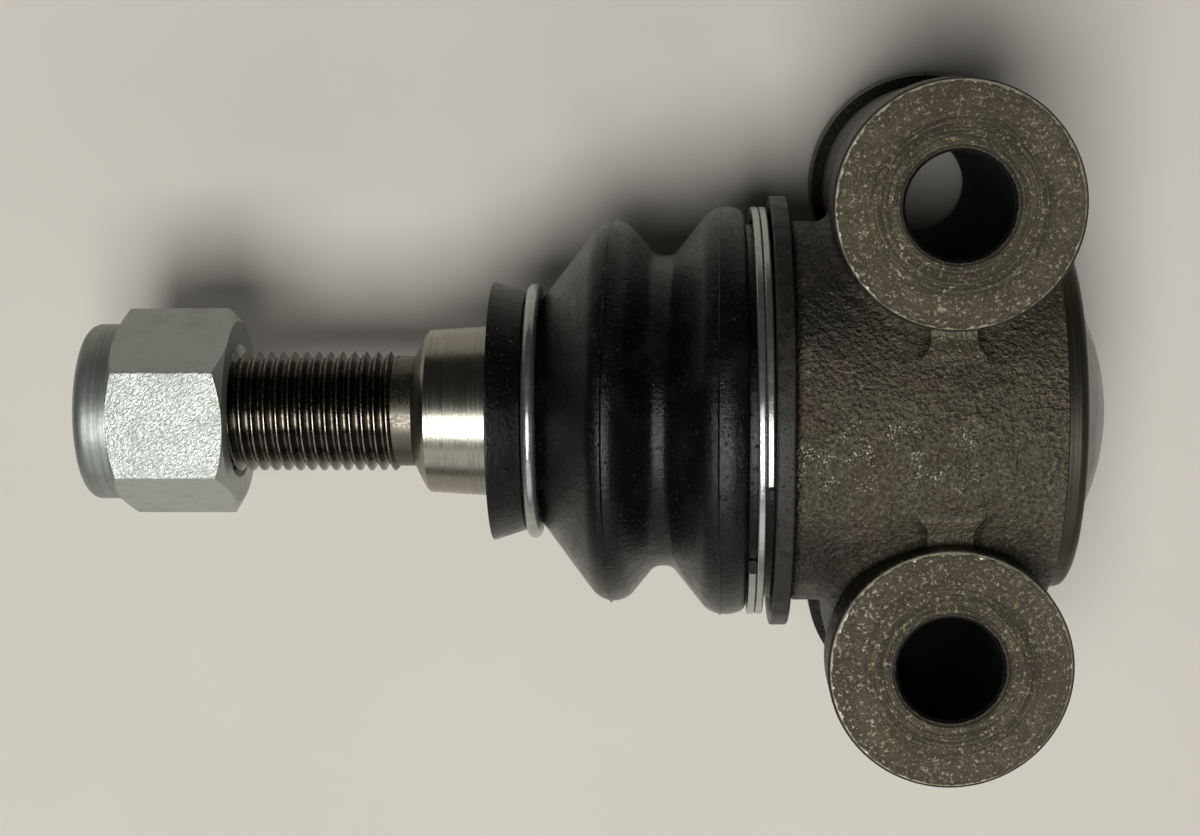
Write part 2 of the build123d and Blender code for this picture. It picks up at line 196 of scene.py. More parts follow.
class Finish:
    """A material in the making: each call adds a node or a few and hands back the output."""

    def __init__(self, name):
        self.material = bpy.data.materials.new(name)
        self.material.use_nodes = True
        self.tree = self.material.node_tree
        self.tree.nodes.clear()
        coordinates = self.tree.nodes.new("ShaderNodeTexCoord")
        self.place = coordinates.outputs["Object"]

    def add(self, kind, sockets, output=0, **settings):
        node = self.tree.nodes.new(kind)
        for name, value in settings.items():
            setattr(node, name, value)
        for name, value in sockets.items():
            if isinstance(value, bpy.types.NodeSocket):
                self.tree.links.new(value, node.inputs[name])
            else:
                node.inputs[name].default_value = value
        return node.outputs[output]

    def math(self, operation, first, second=0.0, third=0.0):
        sockets = {0: first, 1: second}
        if operation == "MULTIPLY_ADD":
            sockets[2] = third
        return self.add("ShaderNodeMath", sockets, operation=operation)

    def product(self, first, *others):
        for other in others:
            first = self.math("MULTIPLY", first, other)
        return first

    def distance(self, across, up):
        """Length of the line that runs so far across and so far up."""
        squares = self.math("ADD", self.product(across, across), self.product(up, up))
        return self.math("SQRT", squares)

    def axes(self):
        node = self.tree.nodes.new("ShaderNodeSeparateXYZ")
        self.tree.links.new(self.place, node.inputs[0])
        return node.outputs[0], node.outputs[1], node.outputs[2]

    def join(self, x=0.0, y=0.0, z=0.0):
        return self.add("ShaderNodeCombineXYZ", {0: x, 1: y, 2: z})

    def noise(self, size, detail=3.0, roughness=0.5, vector=None, distortion=0.0):
        """Cloudy pattern whose blotches are about size millimetres across."""
        sockets = {
            "Vector": vector or self.place,
            "Scale": 1 / (size * MM) if vector is None else 1 / size,
            "Detail": detail,
            "Roughness": roughness,
            "Distortion": distortion,
        }
        return self.add("ShaderNodeTexNoise", sockets, output="Fac")

    def grade(self, value, low, high, start=0.0, end=1.0):
        """Takes low to high over to start to end, and stops at both."""
        return self.add(
            "ShaderNodeMapRange",
            {"Value": value, "From Min": low, "From Max": high, "To Min": start, "To Max": end},
            interpolation_type="SMOOTHSTEP",
        )

    def grade_mm(self, value, low, high, start=0.0, end=1.0):
        """Grades a place or a distance, with low and high in millimetres."""
        return self.grade(value, low * MM, high * MM, start, end)

    def fade_mm(self, value, whole, gone):
        """1 up to whole and 0 past gone, both in millimetres."""
        return self.grade_mm(value, whole, gone, 1.0, 0.0)

    def blend(self, share, first, second):
        """Colour that goes from first to second."""
        sockets = {0: share}
        for socket, colour in ((6, first), (7, second)):
            sockets[socket] = colour if isinstance(colour, bpy.types.NodeSocket) else (*colour, 1.0)
        return self.add("ShaderNodeMix", sockets, output=2, data_type="RGBA", blend_type="MIX")

    def stain(self, zone, strength, first, second):
        """Blends up to strength of the second colour into the first, inside the zone."""
        return self.blend(self.product(zone, strength), first, second)

    def mix(self, share, first, second):
        """Plain number that goes from first to second."""
        return self.add("ShaderNodeMix", {0: share, 2: first, 3: second}, data_type="FLOAT")

    def bump(self, height, depth, normal=None, strength=1.0):
        """Relief of that height, with depth in millimetres."""
        sockets = {"Height": height, "Distance": depth * MM, "Strength": strength}
        if normal is not None:
            sockets["Normal"] = normal
        return self.add("ShaderNodeBump", sockets)

    def finish(self, **sockets):
        """Wires the surface and hands back the material."""
        names = {name.replace("_", " "): value for name, value in sockets.items()}
        surface = self.add("ShaderNodeBsdfPrincipled", names)
        node = self.tree.nodes.new("ShaderNodeOutputMaterial")
        self.tree.links.new(surface, node.inputs["Surface"])
        return self.material


def radius_about_stud(finish):
    """Distance from the stud's axis, in metres."""
    _, y, z = finish.axes()
    return finish.distance(y, z)


# how much the lines change round the axis, in lines per millimetre
LINE_DRIFT = 0.04


def lathe_lines(finish, size, along):
    """Fine lines that run round the stud's axis, size millimetres apart along it."""
    _, y, z = finish.axes()
    turned = finish.join(
        finish.product(along, 1 / (size * MM)),
        finish.product(y, LINE_DRIFT / MM),
        finish.product(z, LINE_DRIFT / MM),
    )
    return finish.noise(1.0, detail=4.0, roughness=0.6, vector=turned)


# boot: where the flange begins along x, and the height over which its upper side is painted pale, with
# dust and a painted sheen
FLANGE_EDGE = (-17.4, -17.1)
FLANGE_TOP = (12.0, 21.0)


def rubber_finish(settings):
    """Moulded black rubber with a soft shine, a little bloom and mould grain, and dust with a painted
    sheen paling the flange's upper side.
    """
    finish = Finish("boot_rubber")
    bloom = finish.grade(finish.noise(5.0, 6.0, 0.65), 0.48, 0.76)
    dust = finish.grade(finish.noise(0.28, 2.0, 0.6), 0.7, 0.78)
    colour = finish.stain(bloom, 0.5, settings.rubber, settings.bloom)
    colour = finish.stain(dust, 0.5, colour, paint(84, 82, 74))
    x, _, z = finish.axes()
    flange = finish.grade_mm(x, *FLANGE_EDGE)
    # dust and painted sheen: the flange's upper side is greyed in patches, partly dust and partly a
    # painted sheen where the lamp falls
    dust_and_sheen_patches = finish.grade(finish.noise(1.2, 5.0, 0.65), 0.3, 0.6, 0.3, 1.0)
    dust_and_sheen = finish.product(flange, finish.grade_mm(z, *FLANGE_TOP, 0.0, 0.6), dust_and_sheen_patches)
    colour = finish.blend(dust_and_sheen, colour, paint(58, 57, 49))
    shine = finish.grade(finish.noise(2.4, 5.0, 0.6), 0.35, 0.7, 0.11, 0.28)
    shine = finish.math("MULTIPLY_ADD", flange, 0.22, shine)
    grain = finish.product(finish.noise(0.16, 2.0, 0.6), 0.45)
    ripple = finish.product(finish.noise(1.6, 3.0, 0.55), 0.6)
    pits = finish.grade(finish.noise(0.4, 1.0, 0.5), 0.24, 0.34, 1.0, 0.0)
    relief = finish.math("SUBTRACT", finish.math("ADD", grain, ripple), pits)
    return finish.finish(
        Base_Color=colour,
        Roughness=shine,
        Normal=finish.bump(relief, 0.17, strength=0.8),
        IOR=1.4,
        Specular_IOR_Level=0.33,
    )


# stud: where the taper and the relief begin along x, and how far out a crest is worn bright
TAPER_EDGE = (-53.3, -52.8)
RELIEF_EDGE = (-56.7, -56.2)
WORN_CREST = (6.16, 6.28)


def ground_steel_finish(settings):
    """Stud: ground taper, oil-dark thread with worn crests, polished ball."""
    finish = Finish("stud_steel")
    x, _, _ = finish.axes()
    threaded = finish.fade_mm(x, *TAPER_EDGE)
    crest = finish.grade_mm(radius_about_stud(finish), *WORN_CREST)
    stained = finish.grade(finish.noise(1.6, 5.0, 0.65), 0.5, 0.72)
    lines = lathe_lines(finish, 0.16, x)
    line_share = finish.grade(lines, 0.3, 0.75, 0.0, 0.5)
    taper = finish.blend(line_share, settings.steel, paint(120, 117, 110))
    taper = finish.stain(stained, 0.3, taper, paint(96, 90, 80))
    worn = finish.stain(crest, 0.8, settings.oil, paint(132, 128, 118))
    worn = finish.stain(stained, 0.7, worn, paint(34, 31, 27))
    colour = finish.blend(threaded, taper, worn)
    relief_zone = finish.product(finish.grade_mm(x, *RELIEF_EDGE), threaded)
    colour = finish.stain(relief_zone, 0.15, colour, paint(132, 128, 116))
    shine_taper = finish.grade(lines, 0.2, 0.8, 0.18, 0.32)
    shine_thread = finish.grade(finish.noise(0.3, 4.0, 0.6), 0.3, 0.7, 0.14, 0.36)
    shine = finish.mix(threaded, shine_taper, shine_thread)
    shine = finish.math("MULTIPLY_ADD", relief_zone, 0.14, shine)
    relief = finish.math("ADD", lines, finish.product(finish.noise(0.35, 3.0), 0.6))
    return finish.finish(
        Base_Color=colour,
        Metallic=1.0,
        Roughness=shine,
        Normal=finish.bump(relief, 0.012, strength=0.7),
    )


# housing, in millimetres: its lugs stand along z at plus and minus LUG_Y, its barrel lies along x
LUG_Y = 22.6
PAD_RADIUS = 12.0
HOLE_RADIUS = 5.16
# where its machined faces end: a pad's face by height, its outline, the hole and the hole's chamfer
# by their distance from the lug's axis, the rim along x, and the barrel by its radius
FACE_EDGE = (19.2, 19.4)
PAD_EDGE = (PAD_RADIUS + 0.1, PAD_RADIUS + 0.4)
HOLE_EDGE = (HOLE_RADIUS + 0.1, HOLE_RADIUS + 0.2)
CHAMFER_EDGE = (HOLE_RADIUS + 0.55, HOLE_RADIUS + 0.7)
RIM_EDGE = (10.8, 11.0)
BARREL_EDGE = (20.0, 20.3)
# how far out of the barrel, along y, a lug's dark walls begin: dark forged skin, and painted shade on the
# walls and under the pads
LUG_SKIN_AND_SHADE = (LUG_Y - 13.0, LUG_Y - 10.5)
# distances from a lug's axis: the shade about its foot, and the tool marks about the hole
LUG_SHADE = (12.5, 17.5)
TOOL_MARKS = (8.0, 9.5)
CRUMBLED_EDGE = (9.6, 11.6)
# the web between lug and barrel: along y, half of its width along x, and the flare of its foot; its top
# is painted light and its feet a painted shadow
WEB_START = (7.0, 8.4)
WEB_FLARE = (7.6, 9.4)
WEB_FLARE_WIDTH = 0.9
WEB_HALF = (2.2, 2.5)
WEB_FOOT = (2.8, 3.3)
WEB_HEIGHT = (12.0, 15.0)
# the patch on top of the barrel where glints are painted: its two sides and its end
GLINT_NEAR = (-6.5, -3.5)
GLINT_FAR = (1.0, 3.0)
GLINT_END = (-1.0, 4.0)
BARREL_TOP = (0.0, 10.0)
# the painted shade in the corners beside the neck, between the flange and the lugs
NECK_SHADE_SIDE = (5.0, 12.0)
NECK_SHADE_END = (-11.5, -6.5)
# the faint raised disc on top of the barrel: x, y and radius
FORGED_DISC = (1.0, -2.1, 5.4)
# the burr round a pad: where it may start, how unevenly it does, and how soon it is whole
BURR_START = PAD_RADIUS - 1.15
BURR_WANDER = 1.3
BURR_EDGE = 0.2


class HousingZones:
    """Where each skin of the housing lies. A zone is 1 inside and 0 outside, with a soft edge."""

    def __init__(self, finish):
        self.x, self.y, z = finish.axes()
        self.side = finish.math("ABSOLUTE", self.y)
        height = finish.math("ABSOLUTE", z)
        off_lug = finish.math("SUBTRACT", self.side, LUG_Y * MM)
        self.from_lug = finish.distance(self.x, off_lug)
        self.lug_angle = finish.math("ARCTAN2", off_lug, self.x)
        near_lug = finish.fade_mm(self.from_lug, *PAD_EDGE)
        self.face = finish.product(finish.grade_mm(height, *FACE_EDGE), near_lug)
        self.bore = finish.fade_mm(self.from_lug, *HOLE_EDGE)
        self.chamfer = finish.fade_mm(self.from_lug, *CHAMFER_EDGE)
        self.lug_wall = finish.product(near_lug, finish.grade_mm(self.side, *LUG_SKIN_AND_SHADE))
        on_barrel = finish.fade_mm(radius_about_stud(finish), *BARREL_EDGE)
        self.rim = finish.product(finish.grade_mm(self.x, *RIM_EDGE), on_barrel)
        self.top = finish.grade_mm(z, *BARREL_TOP)
        by_web = finish.product(
            finish.grade_mm(self.side, *WEB_START),
            finish.grade_mm(height, *WEB_HEIGHT),
        )
        flare = finish.grade_mm(self.side, *WEB_FLARE, WEB_FLARE_WIDTH * MM, 0.0)
        off_web = finish.math("SUBTRACT", finish.math("ABSOLUTE", self.x), flare)
        self.web = finish.product(finish.fade_mm(off_web, *WEB_HALF), by_web)
        foot = finish.math("SUBTRACT", finish.fade_mm(off_web, *WEB_FOOT), self.web)
        self.web_foot_shadow = finish.product(foot, by_web)


def forged_skin(finish, settings, zones, grain, browned):
    """Colour of the scale-dark skin: patches, grain, painted shade beside the neck and about the lugs,
    painted glints, painted light on the webs and painted shadow at their feet.
    """
    patches = finish.grade(finish.noise(4.0, 6.0, 0.65), 0.42, 0.68)
    glint_patch = finish.product(
        finish.grade_mm(zones.y, *GLINT_NEAR),
        finish.fade_mm(zones.y, *GLINT_FAR),
        zones.top,
        finish.fade_mm(zones.x, *GLINT_END),
    )
    glints = finish.product(
        finish.grade(finish.noise(0.22, 3.0, 0.7), 0.57, 0.62),
        finish.grade(finish.noise(2.2, 3.0, 0.6), 0.48, 0.62),
        finish.math("MULTIPLY_ADD", glint_patch, 0.9, 0.1),
    )
    # painted shade: the corners beside the neck are darkened in patches, where shade falls between the
    # flange and the lugs
    neck_shade = finish.product(
        finish.grade_mm(zones.side, *NECK_SHADE_SIDE),
        finish.fade_mm(zones.x, *NECK_SHADE_END),
        finish.grade(finish.noise(3.0, 4.0, 0.6), 0.3, 0.5),
    )
    skin = finish.blend(patches, settings.forging, paint(72, 67, 53))
    skin = finish.stain(browned, 0.45, skin, paint(84, 72, 61))
    skin = finish.blend(finish.grade(grain, 0.52, 0.36, 0.0, 0.5), skin, paint(36, 33, 26))
    skin = finish.blend(finish.grade(grain, 0.56, 0.68, 0.0, 0.5), skin, paint(132, 125, 101))
    skin = finish.stain(neck_shade, 0.7, skin, paint(20, 18, 15))
    # painted glints: bright painted highlights speckled over the top of the barrel
    skin = finish.stain(glints, 0.95, skin, paint(238, 232, 205))
    lug_shade = finish.grade_mm(zones.from_lug, *LUG_SHADE, 0.36, 0.0)
    skin = finish.blend(lug_shade, skin, paint(44, 39, 30))
    # painted light on the web's top, and a painted shadow along its feet where its sides meet the barrel
    skin = finish.stain(zones.web, 0.28, skin, paint(106, 98, 80))
    skin = finish.stain(zones.web_foot_shadow, 0.62, skin, paint(26, 24, 19))
    # dark forged skin and painted shade: the lugs' walls and the pads' undersides are darkened
    return finish.stain(zones.lug_wall, 0.8, skin, paint(30, 28, 23))


def forged_relief(finish, zones, grain):
    """Height of the forged skin: grain, lumps, the faint disc and the webs."""
    x, y, radius = FORGED_DISC
    off_disc = finish.join(
        finish.math("SUBTRACT", zones.x, x * MM),
        finish.math("SUBTRACT", zones.y, y * MM),
    )
    from_disc = finish.add("ShaderNodeVectorMath", {0: off_disc}, output="Value", operation="LENGTH")
    disc_edge = finish.math("MULTIPLY_ADD", finish.noise(2.0, 3.0, 0.6), 1.6 * MM, from_disc)
    disc = finish.fade_mm(disc_edge, radius, radius + 0.5)
    height = finish.math("ADD", finish.noise(1.4, 3.0, 0.55), grain)
    height = finish.math("MULTIPLY_ADD", finish.product(disc, zones.top), 0.25, height)
    smoothed = finish.math("MULTIPLY_ADD", zones.web, -0.45, 1.0)
    return finish.math("MULTIPLY_ADD", height, smoothed, finish.product(zones.web, 0.9))


def faced_pads(finish, settings, zones, browned, mottle):
    """Colour and height of the lugs' faced pads: tool marks, crumbs and a bright burr round the edge,
    painted brighter towards -x as a painted highlight.
    """
    arcs = finish.join(
        finish.product(zones.from_lug, 1 / (0.24 * MM)),
        finish.product(zones.lug_angle, 0.8),
        finish.product(zones.y, 30.0),
    )
    tool_marks = finish.noise(1.0, 3.0, 0.65, vector=arcs)
    near_bore = finish.grade_mm(zones.from_lug, *TOOL_MARKS, 1.0, 0.25)
    smears = finish.grade(finish.noise(2.6, 5.0, 0.65), 0.4, 0.66)
    crumb_zone = finish.math(
        "MAXIMUM",
        finish.grade(finish.noise(3.4, 4.0, 0.65), 0.47, 0.62, 0.12, 1.0),
        finish.grade_mm(zones.from_lug, *CRUMBLED_EDGE, 0.0, 0.6),
    )
    crumbs = finish.product(finish.grade(finish.noise(0.12, 4.0, 0.8), 0.6, 0.65), crumb_zone)
    burr_noise = finish.noise(0.9, 5.0, 0.7)
    burr_start = finish.math("MULTIPLY_ADD", burr_noise, BURR_WANDER * MM, BURR_START * MM)
    past_start = finish.math("SUBTRACT", zones.from_lug, burr_start)
    burr = finish.grade_mm(past_start, 0.0, BURR_EDGE)
    # painted highlight: the bright burr is painted brighter on the pad's -x side, towards the lamp
    lit_burr = finish.product(burr, finish.grade_mm(zones.x, -9.0, 9.0, 0.95, 0.4))
    marked = finish.product(finish.grade(tool_marks, 0.44, 0.56), near_bore)

    faced = finish.stain(mottle, 0.7, settings.machined, paint(70, 65, 51))
    faced = finish.stain(smears, 0.4, faced, paint(124, 116, 94))
    faced = finish.stain(browned, 0.5, faced, paint(86, 76, 64))
    faced = finish.stain(marked, 0.7, faced, paint(50, 46, 36))
    faced = finish.stain(crumbs, 0.85, faced, paint(190, 184, 154))
    faced = finish.blend(lit_burr, faced, paint(228, 221, 194))
    faced = finish.stain(zones.chamfer, 0.7, faced, paint(56, 52, 42))

    height = finish.math("MULTIPLY_ADD", mottle, 0.5, finish.product(tool_marks, near_bore))
    height = finish.math("MULTIPLY_ADD", crumbs, 0.8, height)
    return faced, finish.math("MULTIPLY_ADD", burr, -2.2, height)


def forged_finish(settings):
    """Housing: scale-dark forged skin, faced pads, drilled bores darkened with painted shade, and a
    turned rim.
    """
    finish = Finish("forged_steel")
    zones = HousingZones(finish)
    grain = finish.noise(0.44, 3.0, 0.58)
    browned = finish.grade(finish.noise(5.0, 3.0, 0.55), 0.5, 0.62)
    mottle = finish.grade(finish.noise(0.45, 6.0, 0.8), 0.4, 0.62)
    faced, faced_height = faced_pads(finish, settings, zones, browned, mottle)
    # painted shade: the bores' walls are painted near black, for the shade inside the holes
    drilled = finish.blend(mottle, paint(24, 22, 18), paint(14, 13, 11))
    rim_lines = finish.grade(lathe_lines(finish, 0.25, zones.x), 0.3, 0.7)
    rim_colour = finish.blend(rim_lines, paint(64, 60, 49), paint(42, 39, 31))
    colour = forged_skin(finish, settings, zones, grain, browned)
    colour = finish.blend(zones.face, colour, faced)
    colour = finish.blend(zones.bore, colour, drilled)
    colour = finish.blend(zones.rim, colour, rim_colour)

    machined = finish.math("MAXIMUM", finish.math("MAXIMUM", zones.face, zones.bore), zones.rim)
    skin_height = forged_relief(finish, zones, grain)
    skin_height = finish.product(skin_height, finish.math("SUBTRACT", 1.0, machined))
    skin_bump = finish.bump(skin_height, 0.5)
    faced_height = finish.product(faced_height, zones.face)
    relief = finish.bump(faced_height, 0.09, normal=skin_bump, strength=0.9)
    shine = finish.mix(
        machined,
        finish.grade(grain, 0.3, 0.7, 0.5, 0.36),
        finish.grade(mottle, 0.0, 1.0, 0.38, 0.5),
    )
    return finish.finish(
        Base_Color=colour,
        Metallic=finish.grade(machined, 0.0, 1.0, 0.5, 0.6),
        Roughness=finish.math("MULTIPLY_ADD", zones.bore, 0.3, shine),
        Normal=relief,
    )


def zinc_finish(name, settings, roughness, grain=0.0, lines=0.0, dulled=0.0):
    """Bright zinc plating: pebbled by what is under it, or lined by drawing."""
    finish = Finish(name)
    x, _, _ = finish.axes()
    cloud = finish.grade(finish.noise(3.0, 5.0, 0.6), 0.4, 0.7)
    stained = finish.grade(finish.noise(0.8, 4.0, 0.65), 0.6, 0.75)
    colour = finish.stain(cloud, 0.4, settings.zinc, paint(158, 161, 158))
    colour = finish.stain(stained, 0.35, colour, paint(120, 120, 114))
    colour = finish.blend(dulled, colour, paint(84, 88, 92))
    relief = finish.product(finish.noise(0.12, 2.0), 0.15)
    if grain:
        pebbles = finish.noise(0.42, 2.5, 0.5, distortion=0.6)
        relief = finish.math("MULTIPLY_ADD", pebbles, grain, relief)
    if lines:
        relief = finish.math("MULTIPLY_ADD", lathe_lines(finish, 0.2, x), lines, relief)
    return finish.finish(
        Base_Color=colour,
        Metallic=0.9,
        Roughness=finish.grade(cloud, 0.0, 1.0, *roughness),
        Normal=finish.bump(relief, 0.1, strength=0.8),
    )


# nut: where its hexagon begins along x, and how far along z its two pebbled flats stand, which are also
# painted lighter as painted light
HEXAGON_EDGE = (-85.2, -84.9)
PEBBLED_FLAT = (9.3, 9.42)
PEBBLE_LENGTH = 0.5
PEBBLE_WIDTH = 0.3
PEBBLE_SLANT = 0.7


def nut_finish(settings):
    """Plated nut: two pebbled flats painted lighter as painted light, the others smooth, and a turned
    collar.
    """
    finish = Finish("zinc_plate")
    x, y, z = finish.axes()
    hexagon = finish.grade_mm(x, *HEXAGON_EDGE)
    collar = finish.math("SUBTRACT", 1.0, hexagon)
    pebbled = finish.product(finish.grade_mm(finish.math("ABSOLUTE", z), *PEBBLED_FLAT), hexagon)
    cloud = finish.grade(finish.noise(3.0, 6.0, 0.65), 0.4, 0.7)
    stained = finish.grade(finish.noise(0.7, 5.0, 0.7), 0.6, 0.74)
    bands = lathe_lines(finish, 0.35, x)
    banding = finish.product(collar, finish.grade(bands, 0.3, 0.7, 0.35, 0.75))
    colour = finish.stain(cloud, 0.5, settings.zinc, paint(150, 155, 150))
    colour = finish.stain(stained, 0.35, colour, paint(118, 118, 108))
    colour = finish.blend(banding, colour, paint(112, 116, 112))
    # painted light: the two flats across z, the one facing the lamp among them, are painted lighter than
    # the other flats
    colour = finish.stain(pebbled, 0.6, colour, paint(186, 191, 182))
    slanted = finish.join(
        finish.product(finish.math("MULTIPLY_ADD", y, PEBBLE_SLANT, x), 1 / (PEBBLE_LENGTH * MM)),
        finish.product(finish.math("MULTIPLY_ADD", x, -PEBBLE_SLANT, y), 1 / (PEBBLE_WIDTH * MM)),
    )
    pebbles = finish.product(finish.noise(1.0, 2.5, 0.55, vector=slanted, distortion=0.5), pebbled)
    orange_peel = finish.product(finish.noise(0.9, 3.0, 0.5), 0.15)
    relief = finish.math("MULTIPLY_ADD", finish.product(bands, collar), 0.08, orange_peel)
    relief = finish.math("ADD", relief, pebbles)
    return finish.finish(
        Base_Color=colour,
        Metallic=0.75,
        Roughness=finish.grade(cloud, 0.0, 1.0, 0.42, 0.5),
        Normal=finish.bump(relief, 0.17, strength=0.9),
    )


def nylon_finish(name, settings):
    """Natural moulded nylon, slightly waxy."""
    finish = Finish(name)
    cloud = finish.noise(2.5, 4.0, 0.6)
    colour = finish.blend(finish.grade(cloud, 0.35, 0.7), settings.nylon, paint(186, 181, 164))
    return finish.finish(
        Base_Color=colour,
        Roughness=finish.grade(cloud, 0.3, 0.7, 0.38, 0.52),
        Normal=finish.bump(finish.noise(0.25, 2.0), 0.02, strength=0.5),
        Subsurface_Weight=0.1,
        Subsurface_Radius=(0.002, 0.0018, 0.0014),
    )


def spring_finish():
    """Oil-tempered spring steel."""
    finish = Finish("spring_steel")
    temper = finish.grade(finish.noise(4.0, 4.0, 0.6), 0.4, 0.7)
    colour = finish.blend(temper, paint(92, 88, 84), paint(64, 62, 66))
    lines = lathe_lines(finish, 0.2, radius_about_stud(finish))
    return finish.finish(
        Base_Color=colour,
        Metallic=1.0,
        Roughness=finish.grade(lines, 0.3, 0.7, 0.28, 0.42),
        Normal=finish.bump(lines, 0.01, strength=0.6),
    )


def dress(piece, material):
    """Gives a piece this material only."""
    piece.data.materials.clear()
    piece.data.materials.append(material)


# ---- modelling helpers -------------------------------------------------------------

# how near two points lie that are one, and how near a ring's points lie to its place
MERGE_REACH = 0.001 * MM
RING_REACH = 0.002 * MM
# steps of a rounded corner for each radian that it turns
BEVEL_STEPS = 7


def deselect_all():
    if bpy.context.object is not None and bpy.context.object.mode != "OBJECT":
        bpy.ops.object.mode_set(mode="OBJECT")
    bpy.ops.object.select_all(action="DESELECT")


def start_circle(name, x, radius, segments, fill="NOTHING"):
    """Adds a circle about the stud's axis, in millimetres, and leaves it selected in edit mode."""
    deselect_all()
    bpy.ops.mesh.primitive_circle_add(
        vertices=segments,
        radius=radius * MM,
        fill_type=fill,
        location=(x * MM, 0, 0),
        rotation=(0, math.pi / 2, 0),
    )
    piece = bpy.context.object
    piece.name = name
    bpy.ops.object.transform_apply(location=True, rotation=True, scale=True)
    bpy.ops.object.mode_set(mode="EDIT")
    bpy.ops.mesh.select_all(action="SELECT")
    return piece


def draw_out(corners):
    """In edit mode, extrudes the selected circle from the first (x, radius) corner to the last."""
    x, radius = corners[0]
    for next_x, next_radius in corners[1:]:
        step = ((next_x - x) * MM, 0, 0)
        bpy.ops.mesh.extrude_region_move(TRANSFORM_OT_translate={"value": step})
        growth = next_radius / radius
        bpy.ops.transform.resize(value=(1, growth, growth), center_override=(next_x * MM, 0, 0))
        x, radius = next_x, next_radius
    bpy.ops.mesh.select_all(action="SELECT")


def pick_ring(piece, x, radius):
    """In edit mode, selects the ring of edges at that place, in millimetres."""
    bpy.ops.mesh.select_all(action="DESELECT")
    bpy.ops.mesh.select_mode(type="EDGE")
    bpy.ops.object.mode_set(mode="OBJECT")
    points = piece.data.vertices
    for edge in piece.data.edges:
        ends = [points[index].co for index in edge.vertices]
        edge.select = all(
            abs(end.x - x * MM) < RING_REACH and abs(end.yz.length - radius * MM) < RING_REACH
            for end in ends
        )
    bpy.ops.object.mode_set(mode="EDIT")


def turn_profile(name, profile, segments):
    """Turns a closed ring about the stud's axis. The profile is (x, radius, round) in millimetres.

    The first circle is extruded and scaled from corner to corner, then each corner is bevelled.
    """
    corners = [(x, radius) for x, radius, _ in profile]
    piece = start_circle(name, *corners[0], segments)
    draw_out([*corners, corners[0]])
    bpy.ops.mesh.remove_doubles(threshold=MERGE_REACH)
    bpy.ops.mesh.normals_make_consistent(inside=False)
    for index, (x, radius, rounding) in enumerate(profile):
        if not rounding:
            continue
        before = Vector(corners[index - 1])
        corner = Vector(corners[index])
        after = Vector(corners[(index + 1) % len(corners)])
        turn = (corner - before).angle(after - corner)
        pick_ring(piece, x, radius)
        bpy.ops.mesh.bevel(
            offset=rounding * math.tan(turn / 2) * MM,
            offset_type="OFFSET",
            segments=max(2, round(turn * BEVEL_STEPS)),
            affect="EDGES",
        )
    return piece


def cut_rings(places):
    """In edit mode, adds a ring of edges at each place along the stud's axis, in millimetres."""
    for place in places:
        bpy.ops.mesh.select_all(action="SELECT")
        bpy.ops.mesh.bisect(plane_co=(place * MM, 0, 0), plane_no=(1, 0, 0), threshold=MERGE_REACH)


def close_and_smooth(piece, angle):
    """Leaves edit mode with doubles merged, and shades the piece smooth up to that angle."""
    bpy.ops.mesh.select_all(action="SELECT")
    bpy.ops.mesh.remove_doubles(threshold=MERGE_REACH)
    bpy.ops.object.mode_set(mode="OBJECT")
    bpy.ops.object.shade_smooth_by_angle(angle=math.radians(angle))


def spaced(start, end, step):
    """Places from start to end, about step apart, without the ends."""
    count = max(2, round(abs(end - start) / step))
    return [start + (end - start) * index / count for index in range(1, count)]


# ---- pieces ------------------------------------------------------------------------

# boot, in millimetres: its flange and sleeve on the housing's neck
BOOT_WALL = 1.7
BOOT_GRIP_RADIUS = 17.293
FLANGE_REAR_X = -15.4
FLANGE_FRONT_X = -17.2
FLANGE_RADIUS = 22.393
SLEEVE_RADIUS = 19.493
# its folds as start, end and radius, where each mould seam runs, and the space inside each fold
FIRST_FOLD = (-19.7, -23.1, 21.343)
VALLEY = (-27.1, -28.95, 16.293)
SECOND_FOLD = (-31.9, -34.4, 19.943)
VALLEY_X = -28.0
SEAMS = (-22.1, -33.4)
NECK_POCKET = (-19.0, -21.4, 18.0)
FIRST_POCKET = (-21.4, -22.6, 19.1)
SECOND_POCKET = (-32.5, -34.1, 17.7)
VALLEY_BORE = (-26.6, -29.4)
# its groove for the small ring, and the lip and bore on the stud's taper
GROOVE_X = (-40.8, -42.4)
GROOVE_RADIUS = 11.79
GROOVE_SHOULDER = 0.7
BOOT_END_X = -45.9
BOOT_END_RADIUS = 13.57
BOOT_END_LAND = 0.2
BORE_RADII = (9.31, 8.99)
# where the folds start and stop to lean, where each half has its rings, and a reach for each half
FOLD_REACH = (-19.7, -23.5, -36.0, -40.8)
SPANS = ((FIRST_FOLD[0], VALLEY_X), (VALLEY_X, GROOVE_X[0]))
BENDS = ((-19.7, -27.9), (-28.1, -40.0))
# the step along the boot, the half width of a seam's flash, how near its ring a point of it lies,
# and the least radius at which a point is on the outside of a fold
RING_STEP = 0.6
SEAM_HALF = 0.14
SEAM_REACH = 0.01
SEAM_LEAST_RADIUS = 19.2
BOOT_SMOOTHING = 32.0


